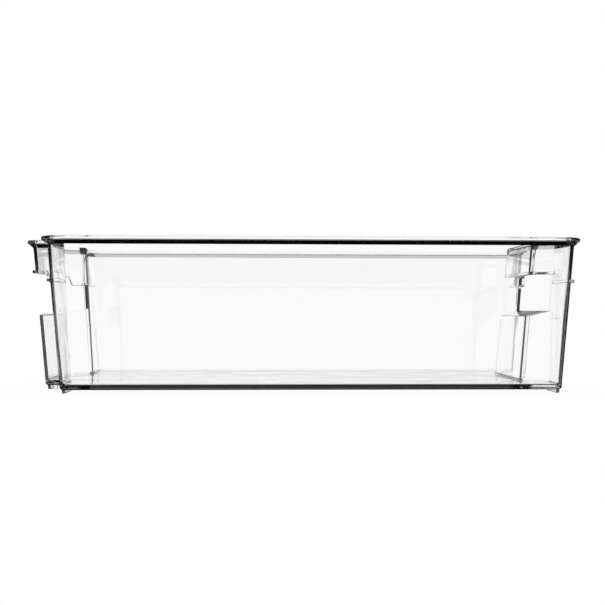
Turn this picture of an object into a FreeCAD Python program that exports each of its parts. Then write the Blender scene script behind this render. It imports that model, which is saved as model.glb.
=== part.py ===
import FreeCAD, Part
import math
import os

# Fridge drawer organizer: one clear injection-moulded bin, open at the top, with a rolled-out rim.
# The left end wall steps outwards into a handle, the right end wall steps inwards into one, so that
# bins stand nose to tail. Each handle has a hand slot. Lengths are millimetres, +Z is up, X runs
# along the bin, and the origin is the centre of the overall footprint, on the plane the feet rest on.
# The moulding is held as the panels, corners, bands, ribs and feet that it is drawn from.

# Driving dimensions
overall_height = 89.0
foot_height = 2.4
floor_thickness = 2.5
wall = 2.0
length_at_rim = 302.8       # outside of the end walls where the rim starts
length_at_floor = 287.2     # the same at the underside of the floor
width_at_rim = 156.0
width_at_floor = 145.8
corner_radius_at_rim = 14.5     # the upright corners open out upwards
corner_radius_at_floor = 7.0
end_hollow_at_rim = 3.0     # at the rim the end panels draw in this much on their way to the handle
corner_share = 0.6          # of the hollow, how far the sharp corner of the plan lies beyond the length
corner_reach = 11.0         # the corner pieces run this far in from the ends and the long sides

rim_overhang = 3.0
rim_depth = 4.0             # rim top down to where its flare leaves the wall
rim_edge_depth = 2.3        # flat outer edge of the rim

bulge_depth = 15.3          # how far the left handle steps out of its end wall
recess_depth = 14.5         # how far the right handle steps into its end wall
handle_blend = 4.0          # outside radius of the handle's upright corners
bulge_mouth = 78.0          # left handle, width at the end wall
bulge_face = 65.0           # left handle, width of its outer face
recess_mouth_at_rim = 75.0
recess_mouth_at_floor = 87.0
recess_face_at_rim = 65.0
recess_face_at_floor = 69.0

slot_bottom = 44.2          # hand slot, at the handle's face
slot_top = 69.4
slot_rise = 3.8             # how far the slot's lower edge climbs along the cheeks
slot_past_mouth = 0.5       # the slot runs this far past the handle's mouth at each end
bulge_step_start = 7.2      # left slot: its upper edge starts to drop this far in from the face
bulge_step_run = 2.5        # and has dropped after this much more

rib_height = 1.7            # finger lips and end ribs
rib_proud = 1.8
rib_level = 63.5            # underside of the ribs on the flat end panels
rib_turn = 10.0             # how far the end ribs run on into the corners

floor_edge = 1.0            # bevel round the underside of the floor
foot_thickness = 1.8
corner_foot_length = 15.0   # along the flat end panel
corner_foot_turn = 5.0      # how far a corner foot follows the corner
handle_foot_length = 11.0   # from the handle's upright corner, along its face

reach = 40.0                # cutting blocks run this far past what they cut

# Levels and places that follow from them
floor_top = foot_height + floor_thickness
rim_root = overall_height - rim_depth
rim_edge_bottom = overall_height - rim_edge_depth
draft_height = rim_root - foot_height
centre_shift = bulge_depth / 2     # the footprint's centre, measured from the middle of the tub


def between(at_floor, at_rim, level):
    """A size that changes evenly from the floor's underside to the rim's root."""
    return at_floor + (at_rim - at_floor) * (level - foot_height) / draft_height


def half_length(level):
    return between(length_at_floor, length_at_rim, level) / 2


def half_width(level):
    return between(width_at_floor, width_at_rim, level) / 2


def recess_mouth(level):
    return between(recess_mouth_at_floor, recess_mouth_at_rim, level)


def recess_face(level):
    return between(recess_face_at_floor, recess_face_at_rim, level)


def plan_corners(level):
    """Corners of the wall's outside at one level, anticlockwise, each with its radius."""
    left = centre_shift - half_length(level)
    right = centre_shift + half_length(level)
    side = half_width(level)
    mouth = recess_mouth(level) / 2
    face = recess_face(level) / 2
    round_corner = between(corner_radius_at_floor, corner_radius_at_rim, level)
    hollow = between(0.0, end_hollow_at_rim, level)
    left_mouth = left + hollow
    right_mouth = right - hollow
    # the end panels slant, so their ends start further out for the round corners to reach the full length
    left_corner = left - hollow * corner_share
    right_corner = right + hollow * corner_share
    front_edge = [(left_corner, -side, round_corner), (right_corner, -side, round_corner)]
    recess = [(right_mouth, -mouth, handle_blend), (right - recess_depth, -face, handle_blend),
              (right - recess_depth, face, handle_blend), (right_mouth, mouth, handle_blend)]
    back_edge = [(right_corner, side, round_corner), (left_corner, side, round_corner)]
    bulge = [(left_mouth, bulge_mouth / 2, handle_blend), (left - bulge_depth, bulge_face / 2, handle_blend),
             (left - bulge_depth, -bulge_face / 2, handle_blend),
             (left_mouth, -bulge_mouth / 2, handle_blend)]
    return front_edge + recess + back_edge + bulge


def outline(level, inset):
    """The wall's plan at one level, moved in by inset, as a closed wire of lines and arcs."""
    corners = plan_corners(level)
    count = len(corners)
    directions = []
    for i in range(count):
        x0, y0, r0 = corners[i]
        x1, y1, r1 = corners[(i + 1) % count]
        run = math.hypot(x1 - x0, y1 - y0)
        directions.append(((x1 - x0) / run, (y1 - y0) / run))
    edges = []
    starts = []
    ends = []
    middles = []
    for i in range(count):
        x, y, radius = corners[i]
        ux, uy = directions[i - 1]
        vx, vy = directions[i]
        turn = ux * vy - uy * vx
        bend = math.atan2(turn, ux * vx + uy * vy)
        # the moved corner lies on both moved edges
        slide = inset / math.cos(bend / 2)
        bisector = math.atan2(uy, ux) + bend / 2 + math.pi / 2
        px = x + slide * math.cos(bisector)
        py = y + slide * math.sin(bisector)
        side = 1.0 if turn > 0 else -1.0
        moved_radius = radius - side * inset
        tangent = moved_radius * math.tan(abs(bend) / 2)
        to_middle = moved_radius / math.cos(bend / 2) - moved_radius
        starts.append(FreeCAD.Vector(px - ux * tangent, py - uy * tangent, level))
        ends.append(FreeCAD.Vector(px + vx * tangent, py + vy * tangent, level))
        middles.append(FreeCAD.Vector(px + side * to_middle * math.cos(bisector),
                                      py + side * to_middle * math.sin(bisector), level))
    for i in range(count):
        edges.append(Part.Arc(starts[i], middles[i], ends[i]).toShape())
        edges.append(Part.LineSegment(ends[i], starts[(i + 1) % count]).toShape())
    return Part.Wire(edges)


def drafted(low, low_inset, high, high_inset):
    """A solid between two levels of the plan."""
    return Part.makeLoft([outline(low, low_inset), outline(high, high_inset)], True, True)


def block(x0, x1, y0, y1, z0, z1):
    return Part.makeBox(x1 - x0, y1 - y0, z1 - z0, FreeCAD.Vector(x0, y0, z0))


def flat_face(points):
    return Part.Face(Part.makePolygon(points + points[:1]))


def across(half_low, half_high, x0, x1):
    """A full-height block between -half and +half in Y, where half changes from bottom to top."""
    corners = [(-half_low, 0), (half_low, 0), (half_high, overall_height), (-half_high, overall_height)]
    face = flat_face([FreeCAD.Vector(x0, y, z) for y, z in corners])
    return face.extrude(FreeCAD.Vector(x1 - x0, 0, 0))


def along_y(points):
    """A block across the whole bin, with a side profile of x, z points."""
    face = flat_face([FreeCAD.Vector(x, -far_side, z) for x, z in points])
    return face.extrude(FreeCAD.Vector(0, 2 * far_side, 0))


# Places of the cuts that share the moulding out between its panels
middle_x = centre_shift
left_end = middle_x - half_length(foot_height)
right_end = middle_x + half_length(foot_height)
corner_left = left_end + corner_reach
corner_right = right_end - corner_reach
corner_side = half_width(foot_height) - corner_reach
far_left = middle_x - length_at_rim / 2 - reach
far_right = middle_x + length_at_rim / 2 + reach
far_side = width_at_rim / 2 + reach
recess_back = corner_right - recess_depth
top = overall_height
slot_middle = (slot_bottom + slot_top) / 2

# a handle's face is flat between the blends of its upright corners
cheek_turn = math.atan2(bulge_depth, (bulge_mouth - bulge_face) / 2)
blend_run = handle_blend * math.tan(cheek_turn / 2)

front = -1
back = 1
sides = {"front": front, "back": back}


def bulge_zone(past=0.0):
    """Where the left handle is, out to the slot's two ends."""
    half = bulge_mouth / 2 + past
    return across(half, half, far_left, corner_left)


def recess_zone(past=0.0):
    low = recess_mouth(0) / 2 + past
    high = recess_mouth(top) / 2 + past
    return across(low, high, recess_back, far_right)


def bulge_face_zone():
    half = bulge_face / 2 - blend_run
    return across(half, half, far_left, corner_left)


def recess_face_zone():
    low = recess_face(0) / 2 - blend_run
    high = recess_face(top) / 2 - blend_run
    return across(low, high, recess_back, far_right)


def half_space(side):
    """Everything on the front or the back of the bin's middle."""
    return block(far_left, far_right, min(0, side * far_side), max(0, side * far_side), 0, top)


def corner_zone(x0, x1, side):
    low, high = sorted((side * corner_side, side * far_side))
    return block(x0, x1, low, high, 0, top)


def end_zone(x0, x1, side, handle, turn=0.0):
    """The flat strip beside a handle, and as much of the corner next to it as turn takes in."""
    low, high = sorted((0, side * (corner_side + turn)))
    return block(x0, x1, low, high, 0, top).cut(handle)


def bulge_slot():
    """Hand slot of the left handle: along the cheeks its upper edge steps down to the ribs."""
    low_face = middle_x - half_length(slot_bottom) - bulge_depth
    high_face = middle_x - half_length(slot_top) - bulge_depth
    rise = slot_rise / bulge_depth * (corner_left - low_face)
    step = high_face + bulge_step_start
    profile = [(far_left, slot_bottom), (low_face, slot_bottom), (corner_left, slot_bottom + rise),
               (corner_left, rib_level), (step + bulge_step_run, rib_level),
               (step, slot_top), (far_left, slot_top)]
    return along_y(profile).common(bulge_zone(slot_past_mouth))


def recess_slot():
    """Hand slot of the right handle: its upper edge stays level to the handle's mouth."""
    face = middle_x + half_length(slot_bottom) - recess_depth
    rise = slot_rise / recess_depth * (far_right - face)
    profile = [(recess_back, slot_bottom), (face, slot_bottom), (far_right, slot_bottom + rise),
               (far_right, slot_top), (recess_back, slot_top)]
    return along_y(profile).common(recess_zone(slot_past_mouth))


def proud_band(low, high):
    """A band standing proud of the wall's outside between two levels."""
    return drafted(low, -rib_proud, high, -rib_proud).cut(drafted(low, 0, high, 0))


def foot_ring():
    inner = floor_edge + foot_thickness
    return drafted(0, floor_edge, foot_height, floor_edge).cut(drafted(0, inner, foot_height, inner))


def rim_ring():
    flare = drafted(rim_root, 0, rim_edge_bottom, -rim_overhang)
    edge = drafted(rim_edge_bottom, -rim_overhang, overall_height, -rim_overhang)
    return flare.fuse(edge).cut(drafted(rim_root, wall, overall_height, wall))


def save(name, shape):
    """Writes one node; a shape that cutting left in a wrapper is written as its plain solid."""
    solids = shape.Solids
    if len(solids) != 1:
        print("check", name, "solids", len(solids))
    solid = solids[0] if len(solids) == 1 else Part.makeCompound(solids)
    print(name, round(solid.Volume, 1), solid.isValid())
    solid.exportStep("parts/" + name + ".step")


os.makedirs("parts", exist_ok=True)

# Floor, with its small bevel underneath, and the step of it that floors the left handle
bevel = drafted(foot_height, floor_edge, foot_height + floor_edge, 0)
floor = bevel.fuse(drafted(foot_height + floor_edge, 0, floor_top, 0))
bulge_line = middle_x - max(half_length(foot_height), half_length(floor_top))
floor_step = block(far_left, bulge_line, -bulge_mouth / 2, bulge_mouth / 2, 0, top)
save("bulge_floor", floor.common(floor_step))
save("floor_panel", floor.cut(floor_step))

# Long walls and upright corners
tub = drafted(floor_top, 0, rim_root, 0).cut(drafted(floor_top, wall, rim_root, wall))
left_handle = bulge_zone(slot_past_mouth)
right_handle = recess_zone(slot_past_mouth)
rim = rim_ring()
for name, side in sides.items():
    long_side = corner_zone(corner_left, corner_right, side)
    save(name + "_wall", tub.common(long_side))
    save(name + "_rim", rim.common(long_side))
    for end, x0, x1 in (("left", far_left, corner_left), ("right", corner_right, far_right)):
        save(name + "_" + end + "_corner", tub.common(corner_zone(x0, x1, side)))

# Flat end panels beside the handles, and the rim round the corner above each
ends = {"left": (far_left, corner_left, left_handle), "right": (corner_right, far_right, right_handle)}
for end, (x0, x1, handle) in ends.items():
    for name, side in sides.items():
        panel_zone = end_zone(x0, x1, side, handle)
        save(name + "_" + end + "_end_panel", tub.common(panel_zone))
        rim_zone = panel_zone.fuse(corner_zone(x0, x1, side))
        save(name + "_" + end + "_rim", rim.common(rim_zone))

# Handles: the pocket below the slot and the grip above it, each a face between two cheeks
handles = {"bulge": (left_handle, bulge_slot(), bulge_face_zone()),
           "recess": (right_handle, recess_slot(), recess_face_zone())}
heights = {"pocket": block(far_left, far_right, -far_side, far_side, 0, slot_middle),
           "grip": block(far_left, far_right, -far_side, far_side, slot_middle, top)}
for name, (zone, slot, face_zone) in handles.items():
    save(name + "_rim", rim.common(zone))
    handle = tub.common(zone).cut(slot)
    for half, height in heights.items():
        save(name + "_" + half + "_face", handle.common(height.common(face_zone)))
        for side_name, side in sides.items():
            cheek_zone = height.common(half_space(side)).cut(face_zone)
            save(name + "_" + half + "_" + side_name + "_cheek", handle.common(cheek_zone))

# Finger lips along the slots' upper edges
lip_top = slot_top + rib_height
band = proud_band(rib_level, lip_top)
high_face = middle_x - half_length(slot_top) - bulge_depth
step = high_face + bulge_step_start
step_end = step + bulge_step_run
lip_profile = [(far_left, slot_top), (step, slot_top), (step_end, rib_level), (corner_left, rib_level),
               (corner_left, rib_level + rib_height), (step_end + rib_height / 2, rib_level + rib_height),
               (step + rib_height / 2, lip_top), (far_left, lip_top)]
save("bulge_finger_lip", band.common(along_y(lip_profile)).common(left_handle))
level_lip = block(recess_back, far_right, -far_side, far_side, slot_top, lip_top)
save("recess_finger_lip", band.common(level_lip).common(right_handle))

# Ribs across the flat end panels; the right ones turn up along the slot's ends to meet its lip
rib_band = block(far_left, far_right, -far_side, far_side, rib_level, rib_level + rib_height)
lip_post = recess_zone(slot_past_mouth + rib_height)
for name, side in sides.items():
    left_strip = end_zone(far_left, corner_left, side, left_handle, rib_turn)
    save(name + "_left_rib", band.common(rib_band).common(left_strip))
    right_strip = end_zone(corner_right, far_right, side, right_handle, rib_turn)
    save(name + "_right_rib", band.common(right_strip).common(rib_band.fuse(lip_post)))

# Feet: short ribs under the four corners and under the handles' upright corners
feet = foot_ring()
bulge_mid = left_end - bulge_depth / 2
recess_mid = right_end - recess_depth / 2
corner_foot_start = corner_side - corner_foot_length
corner_foot_end = corner_side + corner_foot_turn
bulge_foot_start = bulge_face / 2 - blend_run - handle_foot_length
recess_foot_start = recess_face_at_floor / 2 - blend_run - handle_foot_length
for name, side in sides.items():
    low, high = sorted((side * corner_foot_start, side * corner_foot_end))
    save(name + "_left_foot", feet.common(block(far_left, corner_left, low, high, 0, top)))
    save(name + "_right_foot", feet.common(block(corner_right, far_right, low, high, 0, top)))
    low, high = sorted((side * bulge_foot_start, side * far_side))
    save("bulge_" + name + "_foot", feet.common(block(far_left, bulge_mid, low, high, 0, top)))
    low, high = sorted((side * recess_foot_start, side * recess_mouth_at_floor / 2))
    save("recess_" + name + "_foot", feet.common(block(recess_back, recess_mid, low, high, 0, top)))
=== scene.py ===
import math

import bmesh
import bpy
from mathutils import Euler, Matrix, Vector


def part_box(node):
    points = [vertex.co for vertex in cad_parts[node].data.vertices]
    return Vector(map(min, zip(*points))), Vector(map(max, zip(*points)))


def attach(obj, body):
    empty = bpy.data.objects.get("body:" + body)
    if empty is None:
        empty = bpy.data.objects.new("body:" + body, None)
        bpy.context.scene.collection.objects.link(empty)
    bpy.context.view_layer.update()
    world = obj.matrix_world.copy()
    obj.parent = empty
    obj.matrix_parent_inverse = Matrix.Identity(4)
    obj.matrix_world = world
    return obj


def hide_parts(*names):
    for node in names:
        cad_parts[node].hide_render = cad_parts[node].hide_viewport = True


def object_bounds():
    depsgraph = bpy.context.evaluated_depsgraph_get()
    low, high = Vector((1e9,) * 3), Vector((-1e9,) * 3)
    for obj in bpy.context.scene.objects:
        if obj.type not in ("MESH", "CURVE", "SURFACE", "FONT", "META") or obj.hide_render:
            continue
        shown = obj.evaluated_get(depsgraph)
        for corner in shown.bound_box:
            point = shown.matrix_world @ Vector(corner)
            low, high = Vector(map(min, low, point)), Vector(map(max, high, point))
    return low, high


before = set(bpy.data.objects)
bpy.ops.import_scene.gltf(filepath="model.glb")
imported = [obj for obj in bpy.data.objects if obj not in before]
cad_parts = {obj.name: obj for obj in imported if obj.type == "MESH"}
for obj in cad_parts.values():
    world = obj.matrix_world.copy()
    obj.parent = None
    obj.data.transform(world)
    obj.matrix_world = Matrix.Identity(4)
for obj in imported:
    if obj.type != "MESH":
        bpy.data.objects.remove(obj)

cad_low, cad_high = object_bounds()
mm = 0.001

# ---------------------------------------------------------------------------------------------
# Tub: the floor and the one wall that goes all round it, clear plastic 2 mm thick. It is moulded
# in one shot, so the wall leans out by a few degrees to leave the mould. It steps out at the left
# end for one handle and in at the right end for the other.
# ---------------------------------------------------------------------------------------------
wall = 2.0 * mm
length_at_floor = 287.2 * mm
width_at_floor = 145.8 * mm
corner_radius_at_floor = 7.0 * mm
corner_radius_at_rim = 14.5 * mm
corner_segments = 10
handle_blend = 4.0 * mm
blend_segments = 4
end_hollow_at_rim = 3.0 * mm    # how far the end walls draw in towards the handle, at the rim
corner_share = 0.6              # the share of it that the corners give back outwards
bulge_depth = 15.3 * mm
recess_depth = 14.5 * mm
bulge_mouth = 78.0 * mm
bulge_face = 65.0 * mm
recess_mouth_at_floor = 87.0 * mm
recess_mouth_at_rim = 75.0 * mm
recess_face_at_floor = 69.0 * mm
recess_face_at_rim = 65.0 * mm
hair = 0.02 * mm                # two points nearer than this count as one place
lift = 200 * mm                 # how far above the wall each new ring of it is made

corner_low, corner_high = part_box("front_left_corner")
far_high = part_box("back_right_corner")[1]
floor_low, floor_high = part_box("floor_panel")
floor_bottom = floor_low.z
floor_top = floor_high.z
rim_root = corner_high.z
rim_top = cad_high.z
middle = (corner_low.x + far_high.x) / 2


def between(at_floor, at_rim, level):
    """A size of the leaning wall at one level."""
    return at_floor + (at_rim - at_floor) * (level - floor_bottom) / (rim_root - floor_bottom)


def half_length(level):
    return between(length_at_floor, far_high.x - corner_low.x, level) / 2


def recess_mouth(level):
    return between(recess_mouth_at_floor, recess_mouth_at_rim, level)


def plan(level, inset):
    """Corners of the wall at one level, anticlockwise, moved in by inset from the wall's outside.
    Each is x, y, how far its rounding reaches along the wall and the rounding's segments."""
    side = between(width_at_floor, far_high.y - corner_low.y, level) / 2
    left = middle - half_length(level)
    right = middle + half_length(level)
    mouth = recess_mouth(level) / 2
    face = between(recess_face_at_floor, recess_face_at_rim, level) / 2
    hollow = between(0, end_hollow_at_rim, level)
    beyond = hollow * corner_share
    places = [(left - beyond, -side), (right + beyond, -side),
              (right - hollow, -mouth), (right - recess_depth, -face),
              (right - recess_depth, face), (right - hollow, mouth),
              (right + beyond, side), (left - beyond, side),
              (left + hollow, bulge_mouth / 2), (left - bulge_depth, bulge_face / 2),
              (left - bulge_depth, -bulge_face / 2), (left + hollow, -bulge_mouth / 2)]
    corner_radius = between(corner_radius_at_floor, corner_radius_at_rim, level)
    corners = []
    for number, (x, y) in enumerate(places):
        before = places[number - 1]
        after = places[(number + 1) % len(places)]
        way_in = math.atan2(y - before[1], x - before[0])
        way_out = math.atan2(after[1] - y, after[0] - x)
        turn = math.remainder(way_out - way_in, 2 * math.pi)
        inwards = way_in + turn / 2 + math.pi / 2
        slide = inset / math.cos(turn / 2)
        round_corner = abs(y) == side
        radius = corner_radius if round_corner else handle_blend
        segments = corner_segments if round_corner else blend_segments
        reach = (radius - inset * math.copysign(1, turn)) * math.tan(abs(turn) / 2)
        corners.append((x + slide * math.cos(inwards), y + slide * math.sin(inwards), reach, segments))
    return corners


def pick(kind, wanted):
    """Selects, of the mesh in edit mode, the verts, edges or faces that wanted(item) accepts."""
    mesh = bmesh.from_edit_mesh(bpy.context.edit_object.data)
    for items in (mesh.faces, mesh.edges, mesh.verts):
        for item in items:
            item.select_set(False)
    mesh.select_mode = {kind.upper()[:-1]}
    bpy.context.tool_settings.mesh_select_mode = (kind == "verts", kind == "edges", kind == "faces")
    for item in getattr(mesh, kind):
        if wanted(item):
            item.select_set(True)
    mesh.select_flush_mode()
    bmesh.update_edit_mesh(bpy.context.edit_object.data)


def sheet(name, places):
    """A sheet, left in edit mode, with its corners pulled to the given places."""
    bpy.ops.object.select_all(action="DESELECT")
    bpy.ops.mesh.primitive_circle_add(vertices=len(places), radius=mm, fill_type="NGON")
    made = bpy.context.object
    made.name = name
    bpy.ops.object.mode_set(mode="EDIT")
    for number, place in enumerate(places):
        pick("verts", lambda vert: vert.index == number)
        verts = bmesh.from_edit_mesh(made.data).verts
        verts.ensure_lookup_table()
        bpy.ops.transform.translate(value=[place[axis] - verts[number].co[axis] for axis in range(3)])
    return made


def work_on(*pieces):
    """Selects the pieces and nothing else, with the first one active."""
    bpy.ops.object.select_all(action="DESELECT")
    for piece in pieces:
        piece.select_set(True)
    bpy.context.view_layer.objects.active = pieces[0]


def draw_wall(name, rings):
    """A wall, left in edit mode, drawn through (level, inset) rings of the plan. Each ring is made
    high above the one before it, where a bridge can't twist, and then lowered to its level."""
    drawn = None
    for number, (level, inset) in enumerate(rings):
        corners = plan(level, inset)
        height = level + lift if number else level
        ring = sheet(name, [(x, y, height) for x, y, reach, segments in corners])
        for x, y, reach, segments in corners:
            pick("verts", lambda vert: math.hypot(vert.co.x - x, vert.co.y - y) < hair)
            bpy.ops.mesh.bevel(affect="VERTICES", offset=reach, segments=segments)
        pick("faces", lambda face: True)
        bpy.ops.mesh.delete(type="ONLY_FACE")
        bpy.ops.object.mode_set(mode="OBJECT")
        if number == 0:
            drawn = ring
            continue
        last_ring = len(drawn.data.vertices) - len(ring.data.vertices)
        work_on(drawn, ring)
        bpy.ops.object.join()
        bpy.ops.object.mode_set(mode="EDIT")
        pick("edges", lambda edge: all(vert.index >= last_ring for vert in edge.verts))
        bpy.ops.mesh.bridge_edge_loops()
        pick("verts", lambda vert: vert.co.z > lift / 2)
        bpy.ops.transform.translate(value=(0, 0, -lift))
        bpy.ops.object.mode_set(mode="OBJECT")
    bpy.ops.object.mode_set(mode="EDIT")
    return drawn


# ---------------------------------------------------------------------------------------------
# Rim: the wall's top edge, rolled out all round into a stiff flange with a round nose and a
# flare under it. It follows both handles.
# ---------------------------------------------------------------------------------------------
rim_overhang = 3.0 * mm
rim_edge_bottom = rim_top - 2.4 * mm
rim_flare = 2.2 * mm
rim_nose = 0.7 * mm
sharp = math.radians(50)
edge_segments = 3


def on_level(item, level):
    """True for an edge or face that lies level at that height."""
    return all(abs(vert.co.z - level) < hair for vert in item.verts)


# The wall goes up its outside, out and round the rim, and down its inside to the floor.
tub = draw_wall("clear_bin", [(floor_bottom, 0), (rim_edge_bottom, 0), (rim_edge_bottom, -rim_overhang),
                              (rim_top, -rim_overhang), (rim_top, wall), (floor_top, wall)])
for level in (floor_bottom, floor_top):
    pick("edges", lambda edge: edge.is_boundary and on_level(edge, level))
    bpy.ops.mesh.edge_face_add()
pick("faces", lambda face: True)
bpy.ops.mesh.normals_make_consistent(inside=False)

pick("edges", lambda edge: on_level(edge, rim_edge_bottom) and edge.calc_face_angle(0) > sharp
     and not edge.is_convex)
bpy.ops.mesh.bevel(offset=rim_flare, segments=1, affect="EDGES", offset_type="OFFSET")
pick("edges", lambda edge: (on_level(edge, rim_edge_bottom) or on_level(edge, rim_top))
     and edge.calc_face_angle(0) > sharp and edge.is_convex)
bpy.ops.mesh.bevel(offset=rim_nose, segments=edge_segments, affect="EDGES", offset_type="OFFSET")

# ---------------------------------------------------------------------------------------------
# Bottom edge: where the wall meets the floor, both are softened, outside and in, as the mould's
# own edges are. The soft edge is what gathers the light along the foot of the bin.
# ---------------------------------------------------------------------------------------------
floor_edge = 1.0 * mm
inner_floor_edge = 1.5 * mm

for level, soft in ((floor_bottom, floor_edge), (floor_top, inner_floor_edge)):
    pick("edges", lambda edge: on_level(edge, level))
    bpy.ops.mesh.bevel(offset=soft, segments=edge_segments, affect="EDGES", offset_type="OFFSET")
bpy.ops.object.mode_set(mode="OBJECT")

# ---------------------------------------------------------------------------------------------
# Hand slots: an opening through each handle for the fingers, below its grip. Its lower edge climbs
# along the cheeks; the left slot's upper edge steps down to the ribs before it reaches the mouth.
# ---------------------------------------------------------------------------------------------
slot_bottom = 44.2 * mm
slot_top = 69.4 * mm
slot_rise = 3.8 * mm
slot_past_mouth = 0.5 * mm
step_start = 7.2 * mm
step_run = 2.5 * mm
rib_level = 63.5 * mm
past = 8.0 * mm                 # how far a cutter runs on past the bin
slot_edge = 0.5 * mm
slot_edge_segments = 4
slot_sharp = math.radians(30)
slot_merge = 0.2 * mm
speck = hair / 4                # what a boolean may leave behind
corner_reach = 11.0 * mm        # how far the round corners reach in from the ends and sides

slot_end = bulge_mouth / 2 + slot_past_mouth
far_left = cad_low.x - past
far_right = cad_high.x + past
corner_left = middle - length_at_floor / 2 + corner_reach
corner_right = middle + length_at_floor / 2 - corner_reach
bulge_low_face = middle - half_length(slot_bottom) - bulge_depth
recess_low_face = middle + half_length(slot_bottom) - recess_depth
recess_back = corner_right - recess_depth
step = middle - half_length(slot_top) - bulge_depth + step_start


def across(name, profile, half_at):
    """A block across the bin with a side profile of x, z points, half_at(z) to each side."""
    made = sheet(name, [(x, -half_at(z), z) for x, z in profile])
    pick("faces", lambda face: True)
    bpy.ops.mesh.extrude_region_move(TRANSFORM_OT_translate={"value": (0, cad_high.y, 0)})
    for x, z in profile:
        pick("verts", lambda vert: vert.co.y > 0 and math.hypot(vert.co.x - x, vert.co.z - z) < hair)
        bpy.ops.transform.translate(value=(0, 2 * half_at(z) - cad_high.y, 0))
    pick("faces", lambda face: True)
    bpy.ops.mesh.normals_make_consistent(inside=False)
    bpy.ops.object.mode_set(mode="OBJECT")
    return made


def clean_seams():
    """Merges, in the mesh in edit mode, what a boolean or a bevel left all but in one place."""
    pick("verts", lambda vert: True)
    bpy.ops.mesh.remove_doubles(threshold=speck)
    bpy.ops.mesh.dissolve_degenerate(threshold=speck)


def combine(operation, piece, other, solver="EXACT"):
    """Applies a boolean to the piece and takes the other piece away."""
    work_on(piece)
    modifier = piece.modifiers.new(operation, "BOOLEAN")
    modifier.operation = operation
    modifier.solver = solver
    modifier.object = other
    bpy.ops.object.modifier_apply(modifier=modifier.name)
    bpy.data.objects.remove(other)
    bpy.ops.object.mode_set(mode="EDIT")
    clean_seams()
    bpy.ops.object.mode_set(mode="OBJECT")


def cut_slot(profile, half_at):
    """Cuts a hand slot with that side profile and rounds its edges."""
    combine("DIFFERENCE", tub, across("slot", profile, half_at))
    low = min(z for x, z in profile)
    high = max(z for x, z in profile)
    left = min(x for x, z in profile)
    right = max(x for x, z in profile)

    def on_slot(vert):
        """True for a vert that lies on one of the slot's own cut faces."""
        x, y, z = vert.co
        if not (left < x < right and low - hair < z < high + hair and abs(y) < half_at(z) + hair):
            return False
        if abs(abs(y) - half_at(z)) < hair:
            return True
        for (x0, z0), (x1, z1) in zip(profile, profile[1:] + profile[:1]):
            run = math.hypot(x1 - x0, z1 - z0)
            off_line = abs((x1 - x0) * (z - z0) - (z1 - z0) * (x - x0)) / run
            along = ((x - x0) * (x1 - x0) + (z - z0) * (z1 - z0)) / run
            if off_line < hair and -hair < along < run + hair:
                return True
        return False

    bpy.ops.object.mode_set(mode="EDIT")
    pick("verts", on_slot)
    bpy.ops.mesh.remove_doubles(threshold=slot_merge)
    pick("edges", lambda edge: edge.is_convex and edge.calc_face_angle(0) > slot_sharp
         and sum(all(on_slot(vert) for vert in face.verts) for face in edge.link_faces) == 1
         and all(on_slot(vert) for vert in edge.verts))
    bpy.ops.mesh.bevel(offset=slot_edge, segments=slot_edge_segments, affect="EDGES",
                       offset_type="OFFSET")
    clean_seams()
    bpy.ops.object.mode_set(mode="OBJECT")


bulge_slot = [(far_left, slot_bottom), (bulge_low_face, slot_bottom),
              (corner_left, slot_bottom + slot_rise / bulge_depth * (corner_left - bulge_low_face)),
              (corner_left, rib_level), (step + step_run, rib_level),
              (step, slot_top), (far_left, slot_top)]
cut_slot(bulge_slot, lambda level: slot_end)
recess_slot = [(recess_back, slot_bottom), (recess_low_face, slot_bottom),
               (far_right, slot_bottom + slot_rise / recess_depth * (far_right - recess_low_face)),
               (far_right, slot_top), (recess_back, slot_top)]
cut_slot(recess_slot, lambda level: recess_mouth(level) / 2 + slot_past_mouth)

# ---------------------------------------------------------------------------------------------
# Finger lips and ribs: a band 1.7 mm high, moulded proud of the end walls. It lips the upper edge
# of each hand slot, where the fingers pull, and runs on as a rib beside the handle to the corner.
# ---------------------------------------------------------------------------------------------
rib_height = 1.7 * mm
rib_proud = 1.8 * mm
rib_root = 1.0 * mm
rib_edge = 0.35 * mm
rib_turn = 10.0 * mm            # how far the ribs run on round the corners

lip_top = slot_top + rib_height
rib_top = rib_level + rib_height
corner_side = width_at_floor / 2 - corner_reach
rib_end = corner_side + rib_turn


def wall_band(name, low, high, outside, inside):
    """A closed band that follows the wall, from outside proud of it to inside it."""
    made = draw_wall(name, [(low, -outside), (high, -outside), (high, inside), (low, inside),
                            (low, -outside)])
    pick("faces", lambda face: True)
    bpy.ops.mesh.remove_doubles(threshold=hair)
    bpy.ops.mesh.normals_make_consistent(inside=False)
    bpy.ops.object.mode_set(mode="OBJECT")
    return made


left_ribs = wall_band("left_ribs", rib_level - wall, lip_top + wall, rib_proud, rib_root)
lip_profile = [(far_left, slot_top - hair), (step - hair, slot_top - hair),
               (step + step_run - hair, rib_level - hair), (corner_left, rib_level - hair),
               (corner_left, rib_top), (step + step_run + rib_height / 2, rib_top),
               (step + rib_height / 2, lip_top), (far_left, lip_top)]
combine("INTERSECT", left_ribs, across("lip_profile", lip_profile, lambda level: rib_end))

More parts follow.
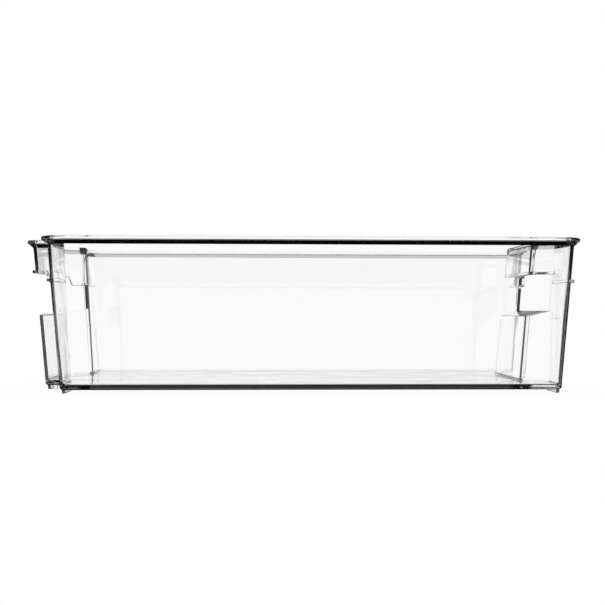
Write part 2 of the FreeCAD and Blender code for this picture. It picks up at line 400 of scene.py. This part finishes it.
# The right handle's lip runs level over its slot and steps down at both ends, like an arch.
right_ribs = wall_band("right_ribs", rib_level - wall, lip_top + wall, rib_proud, rib_root)
arch = []
for side in (-1, 1):
    post = [(side * (recess_mouth(level) / 2 + slot_past_mouth - hair), level - hair)
            for level in (rib_level, slot_top)]
    outer = [(side * (recess_mouth(level) / 2 + slot_past_mouth + rib_height), level)
             for level in (lip_top, rib_top)]
    arch.append((post, outer + [(side * rib_end, rib_top), (side * rib_end, rib_level)]))
(left_post, left_outer), (right_post, right_outer) = arch
outline = left_post + right_post[::-1] + right_outer[::-1] + left_outer
end_profile = sheet("end_profile", [(recess_back, y, z) for y, z in outline])
pick("faces", lambda face: True)
bpy.ops.mesh.extrude_region_move(TRANSFORM_OT_translate={"value": (far_right - recess_back, 0, 0)})
pick("faces", lambda face: True)
bpy.ops.mesh.normals_make_consistent(inside=False)
bpy.ops.object.mode_set(mode="OBJECT")
combine("INTERSECT", right_ribs, end_profile)
for ribs in (left_ribs, right_ribs):
    work_on(ribs)
    bpy.ops.object.mode_set(mode="EDIT")
    pick("edges", lambda edge: edge.calc_face_angle(0) > sharp)
    bpy.ops.mesh.bevel(offset=rib_edge, segments=edge_segments, affect="EDGES", offset_type="OFFSET")
    bpy.ops.object.mode_set(mode="OBJECT")
    combine("UNION", tub, ribs, "MANIFOLD")

# ---------------------------------------------------------------------------------------------
# Feet: short ribs under the four corners and under the handles' upright corners, moulded with the
# floor, so that the bin stands clear of the shelf.
# ---------------------------------------------------------------------------------------------
foot_thickness = 1.8 * mm
foot_root = 1.0 * mm
foot_edge = 0.4 * mm
corner_foot_length = 15.0 * mm
corner_foot_turn = 5.0 * mm
handle_foot_length = 11.0 * mm
foot_step_in = 0.1 * mm
block_height = wall * 6

foot_inset = floor_edge + foot_step_in
feet = wall_band("feet", 0, floor_bottom + foot_root, -foot_inset, foot_inset + foot_thickness)
left_end = middle - length_at_floor / 2
right_end = middle + length_at_floor / 2
blend_run = handle_blend * math.tan(math.atan2(bulge_depth, (bulge_mouth - bulge_face) / 2) / 2)
corner_foot = (corner_side - corner_foot_length, corner_side + corner_foot_turn)
bulge_foot = (bulge_face / 2 - blend_run - handle_foot_length, bulge_mouth / 2)
recess_foot = (recess_face_at_floor / 2 - blend_run - handle_foot_length, recess_mouth_at_floor / 2)
foot_places = [(far_left, corner_left, *corner_foot), (corner_right, far_right, *corner_foot),
               (far_left, left_end - bulge_depth / 2, *bulge_foot),
               (recess_back, right_end - recess_depth / 2, *recess_foot)]
blocks = []
for x0, x1, y0, y1 in foot_places:
    for side in (-1, 1):
        bpy.ops.mesh.primitive_cube_add(size=1, location=((x0 + x1) / 2, side * (y0 + y1) / 2, 0),
                                        scale=(x1 - x0, y1 - y0, block_height))
        blocks.append(bpy.context.object)
work_on(*blocks)
bpy.ops.object.join()
combine("INTERSECT", feet, blocks[0])
bpy.ops.object.mode_set(mode="EDIT")
pick("verts", lambda vert: True)
bpy.ops.mesh.remove_doubles(threshold=foot_edge)
pick("edges", lambda edge: on_level(edge, 0))
bpy.ops.mesh.bevel(offset=foot_edge, segments=edge_segments, affect="EDGES", offset_type="OFFSET",
                   clamp_overlap=True)
bpy.ops.object.mode_set(mode="OBJECT")
combine("UNION", tub, feet)

# ---------------------------------------------------------------------------------------------
# Clear plastic: the whole bin is of it, as smooth as the polished mould that it comes out of, with
# the shallow waves that a wall has where it shrank. It soaks up a little light along its edges.
# ---------------------------------------------------------------------------------------------
smooth_below = math.radians(35)
flat_face_weight = 100
plastic_index = 1.49
plastic_roughness = 0.02
soaked_up_per_metre = 2.0
wave_scale = 45.0
wave_detail = 1.0
wave_height = 0.12 * mm
shadow_tint = 0.93

work_on(tub)
bpy.ops.object.shade_smooth_by_angle(angle=smooth_below)
weighted = tub.modifiers.new("flat faces stay flat", "WEIGHTED_NORMAL")
weighted.keep_sharp = True
weighted.weight = flat_face_weight
bpy.ops.object.modifier_apply(modifier=weighted.name)


def link(source, target):
    target.id_data.links.new(source, target)


def math_node(tree, operation, first, second=None):
    """A math node's output; each value is a number or another node's output."""
    node = tree.nodes.new("ShaderNodeMath")
    node.operation = operation
    for socket, value in zip(node.inputs, (first, second)):
        if isinstance(value, bpy.types.NodeSocket):
            link(value, socket)
        elif value is not None:
            socket.default_value = value
    return node.outputs[0]


plastic = bpy.data.materials.new("clear_plastic")
plastic.use_nodes = True
tree = plastic.node_tree
output = tree.nodes["Material Output"]
shader = tree.nodes["Principled BSDF"]
shader.inputs["Base Color"].default_value = (1.0, 1.0, 1.0, 1.0)
shader.inputs["Transmission Weight"].default_value = 1.0
shader.inputs["IOR"].default_value = plastic_index
shader.inputs["Roughness"].default_value = plastic_roughness

absorption = tree.nodes.new("ShaderNodeVolumeAbsorption")
absorption.inputs["Color"].default_value = (0.0, 0.0, 0.0, 1.0)
absorption.inputs["Density"].default_value = soaked_up_per_metre
link(absorption.outputs["Volume"], output.inputs["Volume"])

place = tree.nodes.new("ShaderNodeTexCoord")
waves = tree.nodes.new("ShaderNodeTexNoise")
waves.inputs["Scale"].default_value = wave_scale
waves.inputs["Detail"].default_value = wave_detail
link(place.outputs["Object"], waves.inputs["Vector"])
bump = tree.nodes.new("ShaderNodeBump")
bump.inputs["Strength"].default_value = 1.0
bump.inputs["Distance"].default_value = wave_height
link(waves.outputs[0], bump.inputs["Height"])
link(bump.outputs[0], shader.inputs["Normal"])

# Light on its way to the floor passes straight through, so that the shadow is a pale one.
clear = tree.nodes.new("ShaderNodeBsdfTransparent")
clear.inputs["Color"].default_value = (shadow_tint, shadow_tint, shadow_tint, 1.0)
path = tree.nodes.new("ShaderNodeLightPath")
mix = tree.nodes.new("ShaderNodeMixShader")
link(math_node(tree, "MAXIMUM", path.outputs["Is Shadow Ray"], path.outputs["Is Diffuse Ray"]),
     mix.inputs[0])
link(shader.outputs[0], mix.inputs[1])
link(clear.outputs[0], mix.inputs[2])
link(mix.outputs[0], output.inputs["Surface"])

tub.data.materials.clear()
tub.data.materials.append(plastic)
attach(tub, "root")
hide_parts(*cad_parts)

# ---------------------------------------------------------------------------------------------
# Studio floor: a small white sheet under the bin, which fades into the white room. It keeps the
# bin's shadow, and shows white to the camera and in the plastic.
# ---------------------------------------------------------------------------------------------
floor_length = 0.36
floor_width = 0.20
glow_share = 0.85               # the rest is lit paper, which keeps the shadow
guided_dark = 0.96              # how much darker light is that the plastic carried inside itself
many_mirrors = 3.5              # these three lie between two counts of a light path
one_mirror = 0.5
first_wall = 2.5


def guided_light(tree, path, spared=None):
    """1 for light that the plastic mirrored many times, and for light that it mirrored at all and
    that never entered a second wall. Spared is the share, 0 to 1, of the second kind let off."""
    mirrors = path.outputs["Glossy Depth"]
    early = math_node(tree, "LESS_THAN", path.outputs["Transmission Depth"], first_wall)
    if spared is not None:
        early = math_node(tree, "SUBTRACT", early, spared)
    early = math_node(tree, "MULTIPLY", math_node(tree, "GREATER_THAN", mirrors, one_mirror), early)
    return math_node(tree, "MAXIMUM", math_node(tree, "GREATER_THAN", mirrors, many_mirrors), early)


def dimmed(tree, amount, share):
    """1 where the amount is 0, and 1 less the share where it is 1."""
    return math_node(tree, "SUBTRACT", 1.0, math_node(tree, "MULTIPLY", amount, share))


bpy.ops.object.select_all(action="DESELECT")
bpy.ops.mesh.primitive_plane_add(size=1)
bpy.ops.transform.resize(value=(floor_length, floor_width, 1))
bpy.ops.object.transform_apply(scale=True)
floor = bpy.context.object
floor.name = "studio_floor"
floor_paint = bpy.data.materials.new("studio_floor")
floor_paint.use_nodes = True
tree = floor_paint.node_tree
paint = tree.nodes["Principled BSDF"]
paint.inputs["Base Color"].default_value = (1.0, 1.0, 1.0, 1)
paint.inputs["Roughness"].default_value = 1.0
paint.inputs["Specular IOR Level"].default_value = 0.0
glow = tree.nodes.new("ShaderNodeEmission")
path = tree.nodes.new("ShaderNodeLightPath")
in_plastic = math_node(tree, "MAXIMUM", path.outputs["Is Glossy Ray"],
                       path.outputs["Is Transmission Ray"])
seen = math_node(tree, "MAXIMUM", path.outputs["Is Camera Ray"], in_plastic)
guided = guided_light(tree, path)
link(dimmed(tree, guided, guided_dark), glow.inputs["Strength"])
mix = tree.nodes.new("ShaderNodeMixShader")
link(math_node(tree, "MAXIMUM", math_node(tree, "MULTIPLY", seen, glow_share), guided), mix.inputs[0])
link(paint.outputs[0], mix.inputs[1])
link(glow.outputs[0], mix.inputs[2])
link(mix.outputs[0], tree.nodes["Material Output"].inputs["Surface"])
floor.data.materials.append(floor_paint)

# ---------------------------------------------------------------------------------------------
# Studio room: white all round, with no lamps. In the plastic it shows white panels before, behind,
# beside, over and under the bin, with dark gaps between, and it tells light apart by how often the
# plastic bent or mirrored it, as no real room does. Each soft border runs between two angles.
# ---------------------------------------------------------------------------------------------
panel_border = (21, 28)             # of the panels before and behind, to each side of the middle
side_panel_border = (28, 34)
panel_top = (12, 17)
low_border = (-24, -16)             # the light floor of the room
low_border_unmirrored = (-6, -3)
overhead_border = (55, 65)
overhead_dark = 0.4
front_low_border = (-16, -13)       # what the bin's outer face mirrors of the panels
front_high_border = (-2.5, -1)
front_white = 1.0
outer_face = 0.5                    # less than one pass into the plastic
far_white = 1.0                     # the gaps, for light that passed more than one wall


def soft_border(tree, value, measure, border, before, after):
    """A soft step, from before to after, of a value that is the sine or tangent of an angle."""
    node = tree.nodes.new("ShaderNodeMapRange")
    node.interpolation_type = "SMOOTHSTEP"
    link(value, node.inputs["Value"])
    node.inputs["From Min"].default_value = measure(math.radians(border[0]))
    node.inputs["From Max"].default_value = measure(math.radians(border[1]))
    node.inputs["To Min"].default_value = before
    node.inputs["To Max"].default_value = after
    return node.outputs["Result"]


world = bpy.data.worlds.new("studio")
bpy.context.scene.world = world
world.use_nodes = True
tree = world.node_tree
coordinates = tree.nodes.new("ShaderNodeTexCoord")
split = tree.nodes.new("ShaderNodeSeparateXYZ")
link(coordinates.outputs["Generated"], split.inputs[0])
across_x = math_node(tree, "ABSOLUTE", split.outputs["X"])
across_y = math_node(tree, "ABSOLUTE", split.outputs["Y"])
height = split.outputs["Z"]
path = tree.nodes.new("ShaderNodeLightPath")
mirrored = math_node(tree, "GREATER_THAN", path.outputs["Glossy Depth"], one_mirror)
unmirrored = math_node(tree, "LESS_THAN", path.outputs["Glossy Depth"], one_mirror)

panels = math_node(tree, "MAXIMUM",
                   soft_border(tree, math_node(tree, "DIVIDE", across_x, across_y),
                               math.tan, panel_border, 1.0, 0.0),
                   soft_border(tree, math_node(tree, "DIVIDE", across_y, across_x),
                               math.tan, side_panel_border, 1.0, 0.0))
far_off = math_node(tree, "MULTIPLY", math_node(
    tree, "GREATER_THAN", path.outputs["Transmission Depth"], first_wall), far_white)
sides = math_node(tree, "MULTIPLY", math_node(tree, "MAXIMUM", panels, far_off),
                  soft_border(tree, height, math.sin, panel_top, 1.0, 0.0))
lower = math_node(tree, "MAXIMUM", soft_border(tree, height, math.sin, low_border, 1.0, 0.0),
                  math_node(tree, "MULTIPLY", unmirrored, soft_border(
                      tree, height, math.sin, low_border_unmirrored, 1.0, 0.0)))
overhead = math_node(tree, "MULTIPLY", soft_border(tree, height, math.sin, overhead_border, 0.0, 1.0),
                     dimmed(tree, mirrored, overhead_dark))
room = math_node(tree, "MAXIMUM", math_node(tree, "MAXIMUM", sides, lower), overhead)

front = math_node(tree, "MULTIPLY",
                  soft_border(tree, height, math.sin, front_low_border, 0.0, front_white),
                  soft_border(tree, height, math.sin, front_high_border, 1.0, 0.0))
outside = math_node(tree, "LESS_THAN", path.outputs["Transmission Depth"], outer_face)
guided = guided_light(tree, path, spared=math_node(tree, "MULTIPLY", outside, front))
room = math_node(tree, "MULTIPLY", room, dimmed(tree, guided, guided_dark))

in_plastic = math_node(tree, "MAXIMUM", path.outputs["Is Glossy Ray"],
                       path.outputs["Is Transmission Ray"])
strength = math_node(tree, "ADD", math_node(tree, "MULTIPLY", in_plastic, room),
                     dimmed(tree, in_plastic, 1.0))
sky = tree.nodes["Background"]
sky.inputs["Color"].default_value = (1, 1, 1, 1)
link(strength, sky.inputs["Strength"])

bpy.context.scene.view_settings.view_transform = "Standard"

# ---------------------------------------------------------------------------------------------
# Camera: before the bin's long side, level with the middle of its height and a little left of its
# middle, two thirds of a metre away, with a long lens.
# ---------------------------------------------------------------------------------------------
sensor_width = 36
lens_in_frame_widths = 1033.7 / 605
camera_place = (-21.15 * mm, -657.25 * mm, 47.97 * mm)
camera_tilt = math.radians(0.379)
camera_turn = math.radians(-2.213)
camera_roll = math.radians(0.081)

camera_data = bpy.data.cameras.new("camera")
camera_data.sensor_width = sensor_width
camera_data.lens = lens_in_frame_widths * sensor_width
camera = bpy.data.objects.new("camera", camera_data)
bpy.context.collection.objects.link(camera)
camera.location = camera_place
turn = Euler((math.radians(90) + camera_tilt, 0, camera_turn)).to_matrix()
camera.rotation_euler = (turn @ Matrix.Rotation(camera_roll, 3, "Z")).to_euler()
bpy.context.scene.camera = camera
